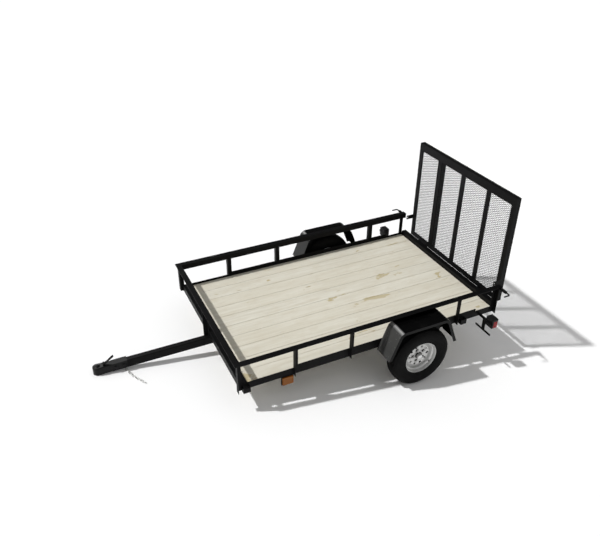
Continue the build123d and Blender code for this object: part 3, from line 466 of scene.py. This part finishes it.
def pick_edges(test):
    """Selects only the edges whose two ends pass a test."""
    bpy.ops.mesh.select_mode(type="EDGE")
    bpy.ops.mesh.select_all(action="DESELECT")
    mesh = bmesh.from_edit_mesh(bpy.context.object.data)
    for edge in mesh.edges:
        if test(edge.verts[0].co, edge.verts[1].co, edge.is_boundary):
            edge.select_set(True)
    bmesh.update_edit_mesh(bpy.context.object.data)


def pick_points(test):
    """Selects only the points that pass a test."""
    bpy.ops.mesh.select_mode(type="VERT")
    bpy.ops.mesh.select_all(action="DESELECT")
    mesh = bmesh.from_edit_mesh(bpy.context.object.data)
    for point in mesh.verts:
        point.select_set(test(point.co))
    bmesh.update_edit_mesh(bpy.context.object.data)


def apply_modifier(piece, kind, **settings):
    """Adds one modifier to a piece and applies it."""
    select(piece)
    modifier = piece.modifiers.new(kind.lower(), kind)
    for name, value in settings.items():
        setattr(modifier, name, value)
    bpy.ops.object.modifier_apply(modifier=modifier.name)


def join(parts):
    """Several parts made into one."""
    deselect()
    for part in parts:
        part.select_set(True)
    bpy.context.view_layer.objects.active = parts[0]
    if len(parts) > 1:
        bpy.ops.object.join()
    return bpy.context.object


def copies(pattern, places):
    """The pattern copied to each place, each copy with its own mesh, and joined."""
    made = []
    for place in places:
        twin = pattern.copy()
        twin.data = pattern.data.copy()
        twin.matrix_world = place @ pattern.matrix_world
        bpy.context.collection.objects.link(twin)
        made.append(twin)
    bpy.data.objects.remove(pattern)
    return join(made)


def standing(point, direction):
    """Place of a part that stands at a point with its Z axis along a direction."""
    return Matrix.Translation(point) @ direction.to_track_quat("Z", "Y").to_matrix().to_4x4()


def dress(piece, name, slot, body, smooth=40.0):
    """Parks a level piece, gives it its finish and lets it ride on a body."""
    piece.name = name
    piece.data.name = name
    piece.matrix_world = PARK @ piece.matrix_world
    select(piece)
    settle()
    bpy.ops.object.shade_smooth_by_angle(angle=math.radians(smooth))
    piece.data.materials.clear()
    piece.data.materials.append(finishes[slot])
    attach(piece, body)
    return piece


# Tyres: ribbed road tread with zigzag grooves, notched shoulders and ringed sidewalls
TREAD_SEGMENTS = 144
TREAD_WIDTH = 0.104
CROWN_DROP = 0.006
GROOVES = (-0.033, -0.011, 0.011, 0.033)
GROOVE_WIDTH = 0.006
GROOVE_DEPTH = 0.007
ZIGZAG = 0.0018
ZIGZAG_SEGMENTS = 2
SEGMENT_SHIFT = 0.25
SHOULDER_BAND = 0.010
SHOULDER_NOTCH = 0.003
NOTCH_SEGMENTS = 3
SIDEWALL_BULGE = 0.018
SIDEWALL_STEPS = 14
SIDEWALL_RINGS = {3: 0.0012, 10: 0.0016}
EDGE_BAND = 0.004
BULGE_SKEW = 0.8
LIP_COVER = 0.010
LIP_STAND = 0.003
LIP_TUCK = 0.002


def tread_tyre(side, sign):
    """One tyre, drawn from a tread band outwards to the rubber lip over each rim flange."""
    centre = Vector((0, sign * wheel_plane, axle_height))
    low, high = level_box(f"tyre_{side}")
    radius = (high.z - low.z) / 2
    rim_low, rim_high = level_box(f"rim_{side}")
    lip_radius = (rim_high.z - rim_low.z) / 2 - LIP_COVER
    lip_half = (rim_high.y - rim_low.y) / 2 + LIP_STAND
    half = TREAD_WIDTH / 2
    deselect()
    bpy.ops.mesh.primitive_cylinder_add(
        vertices=TREAD_SEGMENTS,
        radius=radius,
        depth=TREAD_WIDTH,
        end_fill_type="NOTHING",
        location=centre,
        rotation=(math.radians(90), 0, 0),
    )
    tyre = settle()
    edit(tyre)
    cuts = [groove + step * GROOVE_WIDTH / 2 for groove in GROOVES for step in (-1, 1)]
    cuts += [SHOULDER_BAND - half, half - SHOULDER_BAND]
    for cut in cuts:
        bpy.ops.mesh.select_all(action="SELECT")
        bpy.ops.mesh.bisect(plane_co=centre + LEFT * cut, plane_no=LEFT)
    for offset in sorted({abs(cut) for cut in cuts} | {half}):
        share = 1 - CROWN_DROP * (offset / half) ** 2 / radius
        pick_points(lambda point: abs(abs(point.y - centre.y) - offset) < NEAR)
        bpy.ops.transform.resize(value=(share, 1, share), center_override=centre)
    turn = 2 * math.pi / TREAD_SEGMENTS

    def segment(point):
        """Number of the tread segment at a point."""
        return round(math.atan2(point.z - centre.z, point.x - centre.x) / turn - SEGMENT_SHIFT)

    edges = [abs(cut) for cut in cuts[:-2]]
    for parity, push in ((0, ZIGZAG), (1, -ZIGZAG)):
        pick_points(
            lambda point: any(abs(abs(point.y - centre.y) - edge) < NEAR for edge in edges)
            and segment(point) // ZIGZAG_SEGMENTS % 2 == parity
        )
        bpy.ops.transform.translate(value=(0, push, 0))
    pick_faces(
        lambda middle, normal: any(
            abs(middle.y - centre.y - groove) < GROOVE_WIDTH / 2 for groove in GROOVES
        )
    )
    sink = {"value": -GROOVE_DEPTH}
    bpy.ops.mesh.extrude_region_shrink_fatten(TRANSFORM_OT_shrink_fatten=sink)
    pick_faces(
        lambda middle, normal: abs(middle.y - centre.y) > half - SHOULDER_BAND
        and segment(middle) % NOTCH_SEGMENTS == 0
    )
    sink = {"value": -SHOULDER_NOTCH}
    bpy.ops.mesh.extrude_region_shrink_fatten(TRANSFORM_OT_shrink_fatten=sink)
    shoulder = radius - CROWN_DROP
    for outward in (1, -1):
        pick_edges(
            lambda first, second, boundary: boundary
            and min(first.y * outward, second.y * outward) > centre.y * outward + half - EDGE_BAND
        )
        ring_radius, ring_offset = shoulder, half
        for step in range(1, SIDEWALL_STEPS + 1):
            share = step / SIDEWALL_STEPS
            radius_now = shoulder + (lip_radius - shoulder) * share
            ring = SIDEWALL_RINGS.get(step, 0)
            bulge = SIDEWALL_BULGE * math.sin(math.pi * share**BULGE_SKEW) + ring
            offset_now = half + (lip_half - half) * share + bulge
            bpy.ops.mesh.extrude_edges_move(
                TRANSFORM_OT_translate={"value": (0, outward * (offset_now - ring_offset), 0)}
            )
            scale = radius_now / ring_radius
            bpy.ops.transform.resize(value=(scale, 1, scale), center_override=centre)
            ring_radius, ring_offset = radius_now, offset_now
        bpy.ops.mesh.extrude_edges_move(
            TRANSFORM_OT_translate={"value": (0, -outward * (LIP_STAND + LIP_TUCK), 0)}
        )
    pick_edges(lambda first, second, boundary: boundary)
    bpy.ops.mesh.bridge_edge_loops()
    bpy.ops.mesh.select_all(action="SELECT")
    bpy.ops.mesh.normals_make_consistent(inside=False)
    tyre = leave()
    dress(tyre, f"road_tyre_{side}", "tyre_rubber", f"wheel_{side}", CREASED)
    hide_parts(f"tyre_{side}")


for side, sign in SIDES:
    tread_tyre(side, sign)

# Gate mesh: fine expanded metal in the four bays
STRAND = 0.0041
DIAMOND_WIDTH = 0.043
DIAMOND_HEIGHT = 0.0185
BAR_SPACING = 0.366
BAR_HALF = 0.028
BAR_WALL = 0.005
BAY_GAP = 0.001


def expanded_panel(right_edge, left_edge, bottom, top, station):
    """A sheet of diamonds: a grid poked through and its upright and level edges taken out."""
    width, height = left_edge - right_edge, top - bottom
    deselect()
    bpy.ops.mesh.primitive_grid_add(
        x_subdivisions=round(width / DIAMOND_WIDTH),
        y_subdivisions=round(height / DIAMOND_HEIGHT),
        size=1,
        location=(station, (left_edge + right_edge) / 2, (bottom + top) / 2),
        rotation=(math.radians(90), 0, math.radians(90)),
    )
    bpy.context.object.scale = (width, height, 1)
    panel = settle()
    edit(panel)
    bpy.ops.mesh.select_all(action="SELECT")
    bpy.ops.mesh.poke()
    pick_edges(
        lambda first, second, boundary: not boundary
        and (abs(first.y - second.y) < NEAR or abs(first.z - second.z) < NEAR)
    )
    bpy.ops.mesh.dissolve_edges(use_verts=False)
    panel = leave()
    apply_modifier(
        panel, "WIREFRAME", thickness=STRAND, offset=0.0, use_boundary=True, use_even_offset=True
    )
    return panel


low, high = level_box("gate_mesh")
bar_edge = BAR_SPACING - BAR_HALF
bays = (
    (bar_edge + BAR_WALL, high.y),
    (BAR_WALL - BAR_HALF, bar_edge - BAY_GAP),
    (BAY_GAP - bar_edge, -BAR_HALF - BAY_GAP),
    (low.y, -bar_edge - BAR_WALL),
)
station = (low.x + high.x) / 2
panels = [expanded_panel(right, left, low.z, high.z, station) for right, left in bays]
mesh = dress(join(panels), "gate_expanded_mesh", "black_paint", "gate", CRISP)
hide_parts("gate_mesh")


# Safety chain: the links of the frame, welded up and rounded
def round_chain():
    """Smooth oval links over the plain ones."""
    deselect()
    chain = frame["nodes"]["safety_chain"].copy()
    chain.data = frame["nodes"]["safety_chain"].data.copy()
    for key in list(chain.keys()):
        del chain[key]
    chain.parent = None
    bpy.context.collection.objects.link(chain)
    edit(chain)
    bpy.ops.mesh.select_all(action="SELECT")
    bpy.ops.mesh.remove_doubles(threshold=NEAR)
    bpy.ops.mesh.tris_convert_to_quads()
    chain = leave()
    apply_modifier(chain, "SUBSURF", levels=2, render_levels=2)
    chain.matrix_world = LEVEL
    dress(chain, "chain_links", "chain_zinc", "chassis", ROUNDED)
    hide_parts("safety_chain")


round_chain()


# Fasteners: shares of a head's radius or height, then the sizes of a deck screw
HEAD_CHAMFER, HEAD_CROWN = 0.14, 0.10
STUD_STEP, STUD_CHAMFER, STUD_CROWN = 0.30, 0.08, 0.05
WASHER_HEIGHT, WASHER_REACH, WASHER_BEVEL = 0.16, 1.38, 0.3
SCREW_RADIUS, SCREW_DEPTH, SCREW_SINK = 0.0048, 0.002, 0.0006
SCREW_RIM, SCREW_DISH = 0.16, 0.0002
DRIVE_INSET, DRIVE_DEPTH = 0.42, 0.0008


def hexagon(flats, height, stud=0.0):
    """Hexagon head or nut with a chamfered crown on a washer, and a stud end on a nut."""
    radius = flats / 2 / math.cos(math.radians(30))
    deselect()
    bpy.ops.mesh.primitive_cylinder_add(
        vertices=6, radius=radius, depth=height, location=(0, 0, height / 2)
    )
    head = settle()
    edit(head)
    pick_top()
    bpy.ops.mesh.inset(thickness=HEAD_CHAMFER * radius, depth=HEAD_CROWN * height)
    if stud:
        bpy.ops.mesh.inset(thickness=STUD_STEP * radius)
        bpy.ops.mesh.extrude_region_move(TRANSFORM_OT_translate={"value": (0, 0, stud)})
        bpy.ops.mesh.inset(thickness=STUD_CHAMFER * radius, depth=STUD_CROWN * radius)
    leave()
    deselect()
    rim = WASHER_HEIGHT * height
    bpy.ops.mesh.primitive_cylinder_add(
        vertices=18, radius=WASHER_REACH * radius, depth=rim, location=(0, 0, rim / 2)
    )
    washer = settle()
    edit(washer)
    pick_top()
    bpy.ops.mesh.bevel(offset=WASHER_BEVEL * rim, segments=2)
    leave()
    return join([head, washer])


def deck_screw(radius):
    """Flat screw head with a square drive, a little below the wood's face."""
    deselect()
    bpy.ops.mesh.primitive_cylinder_add(
        vertices=14, radius=radius, depth=SCREW_DEPTH, location=(0, 0, -SCREW_SINK)
    )
    screw = settle()
    edit(screw)
    pick_top()
    bpy.ops.mesh.inset(thickness=SCREW_RIM * radius, depth=-SCREW_DISH)
    bpy.ops.mesh.inset(thickness=DRIVE_INSET * radius)
    bpy.ops.mesh.extrude_region_move(TRANSFORM_OT_translate={"value": (0, 0, -DRIVE_DEPTH)})
    return leave()


# A nut or bolt head is given by its width across flats, its height and its stud end
LUGS = 5
LUG_CIRCLE = 0.05715
LUG_NUT = (0.019, 0.015, 0.005)
DISC_OFFSET = 0.012
for side, sign in SIDES:
    face = Vector((0, sign * (wheel_plane + DISC_OFFSET), axle_height))
    places = []
    for number in range(LUGS):
        angle = 2 * math.pi * number / LUGS
        spoke = Vector((math.cos(angle), 0, math.sin(angle))) * LUG_CIRCLE
        places.append(standing(face + spoke, LEFT * sign))
    nuts = copies(hexagon(*LUG_NUT), places)
    dress(nuts, f"lug_nuts_{side}", "hub_steel", f"wheel_{side}", CRISP)

# Spring bolts, U-bolt nuts, coupler bolts and lamp studs
BOLT_HEAD = (0.019, 0.009)
CLAMP_NUT = (0.017, 0.008, 0.006)
LAMP_NUT = (0.010, 0.005, 0.004)
EYE_RADIUS = 0.015
KEEPER_REACH = 0.010
U_BOLT_ALONG, U_BOLT_ACROSS = 0.0293, 0.026
U_BOLT_END = 0.010
clamp_bolts, spring_bolts = [], []
for side, _ in SIDES:
    for end, rise in (("front", EYE_RADIUS), ("rear", KEEPER_REACH)):
        low, high = level_box(f"hanger_{end}_{side}")
        for y, way in ((low.y, RIGHT), (high.y, LEFT)):
            spring_bolts.append(standing(Vector(((low.x + high.x) / 2, y, low.z + rise)), way))
    low, high = level_box(f"axle_clamp_{side}")
    middle = (low + high) / 2
    for along in (-U_BOLT_ALONG, U_BOLT_ALONG):
        for across in (-U_BOLT_ACROSS, U_BOLT_ACROSS):
            seat = Vector((along, middle.y + across, high.z - U_BOLT_END))
            clamp_bolts.append(standing(seat, UP))
bolts = copies(hexagon(*BOLT_HEAD), spring_bolts)
dress(bolts, "spring_bolts", "chain_zinc", "chassis", CRISP)
nuts = copies(hexagon(*CLAMP_NUT), clamp_bolts)
dress(nuts, "clamp_nuts", "chain_zinc", "chassis", CRISP)

COUPLER_HALF = 0.0295
COUPLER_STATIONS = (0.032, 0.098)
COUPLER_DROP = 0.034
coupler_rear = level_box("coupler")[0].x
tongue_top = level_box("tongue")[1].z
coupler_bolts = []
for ahead in COUPLER_STATIONS:
    for sign, way in ((1, LEFT), (-1, RIGHT)):
        x, y, z = coupler_rear + ahead, sign * COUPLER_HALF, tongue_top - COUPLER_DROP
        coupler_bolts.append(standing(Vector((x, y, z)), way))
bolts = copies(hexagon(*BOLT_HEAD), coupler_bolts)
dress(bolts, "coupler_bolts", "coupler_black", "chassis", CRISP)

LAMP_STUD_GAUGE = 0.025
lamp_studs = []
for side, _ in SIDES:
    arm_low, arm_high = level_box(f"tail_arm_{side}")
    lamp_low, lamp_high = level_box(f"tail_housing_{side}")
    for across in (-LAMP_STUD_GAUGE, LAMP_STUD_GAUGE):
        y = (lamp_low.y + lamp_high.y) / 2 + across
        seat = Vector((arm_high.x, y, (arm_low.z + arm_high.z) / 2))
        lamp_studs.append(standing(seat, FORWARD))
studs = copies(hexagon(*LAMP_NUT), lamp_studs)
dress(studs, "lamp_studs", "coupler_black", "chassis", CRISP)

# Valve stems through the outer flank of each rim's drop well
STEM_RADIUS = 0.0048
STEM_LENGTH = 0.028
STEM_FOOT = 0.004
STEM_ROOT_OUT = 0.0242
STEM_ROOT_RADIUS = 0.1409
STEM_LEAN = math.radians(30)
STEM_TURN = math.radians(220)
# Width and rise of the neck, the cap's edge and the cap, as shares of the ring below and the length
STEM_RINGS = ((0.70, 0.45), (1.18, 0.02), (1.0, 0.36))
STEM_CHAMFER, STEM_CROWN = 0.2, 0.15


def valve_stem():
    """Rubber stem, thick at its foot and slim below a wider cap."""
    deselect()
    bpy.ops.mesh.primitive_cylinder_add(
        vertices=16, radius=STEM_RADIUS, depth=STEM_FOOT, location=(0, 0, STEM_FOOT / 2)
    )
    stem = settle()
    edit(stem)
    pick_top()
    for share, rise in STEM_RINGS:
        move = {"value": (0, 0, rise * STEM_LENGTH)}
        bpy.ops.mesh.extrude_region_move(TRANSFORM_OT_translate=move)
        bpy.ops.transform.resize(value=(share, share, 1), center_override=(0, 0, 0))
    bpy.ops.mesh.inset(thickness=STEM_CHAMFER * STEM_RADIUS, depth=STEM_CROWN * STEM_RADIUS)
    return leave()


for side, sign in SIDES:
    spoke = Vector((math.cos(STEM_TURN), 0, math.sin(STEM_TURN)))
    hub_centre = Vector((0, sign * (wheel_plane + STEM_ROOT_OUT), axle_height))
    lean = sign * LEFT * math.cos(STEM_LEAN) - spoke * math.sin(STEM_LEAN)
    place = standing(hub_centre + spoke * STEM_ROOT_RADIUS, lean)
    stem = copies(valve_stem(), [place])
    dress(stem, f"valve_stem_{side}", "tyre_rubber", f"wheel_{side}")

# Deck screws over the crossmembers
CROSSMEMBERS = 4
SCREW_GAUGE = 0.045
low, high = level_box("deck")
pitch = (high.y - low.y + PLANK_GAP) / PLANKS
screws = []
for number in range(1, CROSSMEMBERS + 1):
    member_low, member_high = level_box(f"crossmember_{number}")
    row = (member_low.x + member_high.x) / 2
    for plank in range(PLANKS):
        plank_middle = low.y + (plank + 0.5) * pitch - PLANK_GAP / 2
        for across in (-SCREW_GAUGE, SCREW_GAUGE):
            screws.append(Matrix.Translation((row, plank_middle + across, high.z)))
dress(copies(deck_screw(SCREW_RADIUS), screws), "deck_screws", "chain_zinc", "chassis", CRISP)

# Welds
WELD_LEG = 0.0032
RIPPLE_STEP, RIPPLE_SQUASH = 0.8, 0.85


def weld_bead(start, end, leg):
    """A row of overlapping ripples from one point to another."""
    run = end - start
    step = RIPPLE_STEP * leg
    deselect()
    bpy.ops.mesh.primitive_uv_sphere_add(segments=8, ring_count=5, radius=leg)
    bead = bpy.context.object
    edit(bead)
    bpy.ops.mesh.select_all(action="SELECT")
    bpy.ops.transform.resize(value=(1, 1, RIPPLE_SQUASH))
    leave()
    apply_modifier(
        bead,
        "ARRAY",
        count=max(2, round(run.length / step)),
        use_relative_offset=False,
        use_constant_offset=True,
        constant_offset_displace=(0, 0, step),
    )
    bead.matrix_world = standing(start, run.normalized())
    return settle()


POST_LEG = 0.040
POST_HEELS = (1.6245, 1.137, 0.622, -0.467)
REAR_POST_HEEL = -0.8945
POST_TOP_INSET, POST_TOP_GAP = 0.004, 0.006
TONGUE_HALF = 0.0255
TONGUE_WELD_SETBACK = 0.003
frame_side = level_box("side_rail_left")[1].y
rail_low, rail_high = level_box("front_rail")
post_low, post_high = level_box("posts_left")
beads = []
for _, sign in SIDES:
    outer = sign * frame_side
    for heel, lean in [(heel, -1) for heel in POST_HEELS] + [(REAR_POST_HEEL, 1)]:
        for x in (min(heel, rail_high.x), heel + lean * POST_LEG):
            foot, head = Vector((x, outer, post_low.z)), Vector((x, outer, rail_high.z))
            beads.append(weld_bead(foot, head, WELD_LEG))
        x = heel + lean * POST_TOP_INSET
        inner_end, outer_end = frame_side + POST_TOP_GAP, frame_side + POST_LEG - POST_TOP_INSET
        under_rail, post_edge = (
            Vector((x, sign * end, post_high.z)) for end in (inner_end, outer_end)
        )
        beads.append(weld_bead(under_rail, post_edge, WELD_LEG))
for y in (-TONGUE_HALF, TONGUE_HALF):
    behind = Vector((rail_low.x + TONGUE_WELD_SETBACK, y, rail_low.z))
    ahead = Vector((rail_high.x, y, rail_low.z))
    beads.append(weld_bead(behind, ahead, WELD_LEG))
dress(join(beads), "frame_welds", "black_paint", "chassis", ROUNDED)


# Camera, floor and light
VIEW_AZIMUTH = 154.462
VIEW_ELEVATION = 32.477
VIEW_ROLL = 0.307
VIEW_PLACE = Vector((2.7754, 4.3105, 3.8965))
FOCAL_PIXELS = 637.07
IMAGE_WIDTH = 600
SENSOR = 36.0
VIEW_DEPTH = 200


def photo_camera():
    """The camera at the photo's angle to the trailer, carried along as the trailer parks."""
    angles = (VIEW_AZIMUTH, VIEW_ELEVATION, VIEW_ROLL)
    azimuth, elevation, roll = (math.radians(angle) for angle in angles)
    level_back = Vector((math.sin(azimuth), -math.cos(azimuth), 0))
    back = level_back * math.cos(elevation) + Vector((0, 0, math.sin(elevation)))
    right = Vector((math.cos(azimuth), math.sin(azimuth), 0))
    up = back.cross(right)
    right, up = (
        math.cos(roll) * right + math.sin(roll) * up,
        math.cos(roll) * up - math.sin(roll) * right,
    )
    turn = Matrix((right, up, back)).transposed().to_4x4()
    data = bpy.data.cameras.new("photo_camera")
    data.sensor_fit = "HORIZONTAL"
    data.sensor_width = SENSOR
    data.lens = FOCAL_PIXELS / IMAGE_WIDTH * SENSOR
    data.clip_end = VIEW_DEPTH
    camera = bpy.data.objects.new("photo_camera", data)
    camera.matrix_world = PARK @ Matrix.Translation(VIEW_PLACE) @ turn
    bpy.context.collection.objects.link(camera)
    bpy.context.scene.camera = camera


FLOOR_SIZE = 160.0
FLOOR_WHITE = colour(0.97, 0.97, 0.97)
SUN_TRAVEL = Vector((-0.64, 0.17, -1.0))
SUN_STRENGTH = 2.65
SUN_SPREAD = 2.0
SKY_LIGHT = 0.44
HORIZON_GLOW = 1.0
CEILING_GLOW = 0.04
CEILING_START = (0.08, 0.30)
SOFTBOX_PLACE = Vector((2.25, -4.45, 4.75))
SOFTBOX_AIM = Vector((0.26, 0.88, 0.62))
SOFTBOX_SIZE = 1.0
SOFTBOX_POWER = 80.0


def pale_floor():
    """A wide plain floor that is seen from above and clear from below."""
    deselect()
    bpy.ops.mesh.primitive_plane_add(size=FLOOR_SIZE)
    floor = bpy.context.object
    floor.name = "floor"
    material, tree, shader = new_finish(
        "pale_floor", Base_Color=FLOOR_WHITE, Roughness=1.0, Specular_IOR_Level=0.0
    )
    below = add_node(tree, "ShaderNodeNewGeometry").outputs["Backfacing"]
    clear = add_node(tree, "ShaderNodeBsdfTransparent").outputs[0]
    seen = add_node(tree, "ShaderNodeMixShader", {0: below, 1: shader.outputs[0], 2: clear})
    tree.links.new(seen.outputs[0], tree.nodes["Material Output"].inputs["Surface"])
    floor.data.materials.append(material)


def soft_light():
    """A high sun ahead, a softbox that glints on glossy faces, and a pale room darker overhead."""
    sun = bpy.data.lights.new("sun", "SUN")
    sun.energy = SUN_STRENGTH
    sun.angle = math.radians(SUN_SPREAD)
    lamp = bpy.data.objects.new("sun", sun)
    travel = PARK.to_3x3() @ SUN_TRAVEL
    lamp.rotation_euler = travel.to_track_quat("-Z", "Y").to_euler()
    bpy.context.collection.objects.link(lamp)
    panel = bpy.data.lights.new("softbox", "AREA")
    panel.size = SOFTBOX_SIZE
    panel.energy = SOFTBOX_POWER
    softbox = bpy.data.objects.new("softbox", panel)
    turn = (SOFTBOX_AIM - SOFTBOX_PLACE).to_track_quat("-Z", "Y").to_matrix().to_4x4()
    softbox.matrix_world = PARK @ Matrix.Translation(SOFTBOX_PLACE) @ turn
    softbox.visible_diffuse = False
    bpy.context.collection.objects.link(softbox)
    world = bpy.data.worlds.new("pale_room")
    bpy.context.scene.world = world
    world.use_nodes = True
    tree = world.node_tree
    path = add_node(tree, "ShaderNodeLightPath")
    seen = math_node(
        tree, "MAXIMUM", path.outputs["Is Camera Ray"], path.outputs["Is Transmission Ray"]
    )
    direction = add_node(tree, "ShaderNodeTexCoord").outputs["Generated"]
    height = coordinate(tree, direction, "Z")
    mirrored = remap(tree, height, *CEILING_START, HORIZON_GLOW, CEILING_GLOW)
    lit = remap(tree, path.outputs["Is Glossy Ray"], 0, 1, SKY_LIGHT, mirrored)
    sky = tree.nodes["Background"]
    sky.inputs["Color"].default_value = colour(1, 1, 1)
    tree.links.new(remap(tree, seen, 0, 1, lit, 1.0), sky.inputs["Strength"])


photo_camera()
pale_floor()
soft_light()
bpy.context.scene.view_settings.view_transform = "Standard"
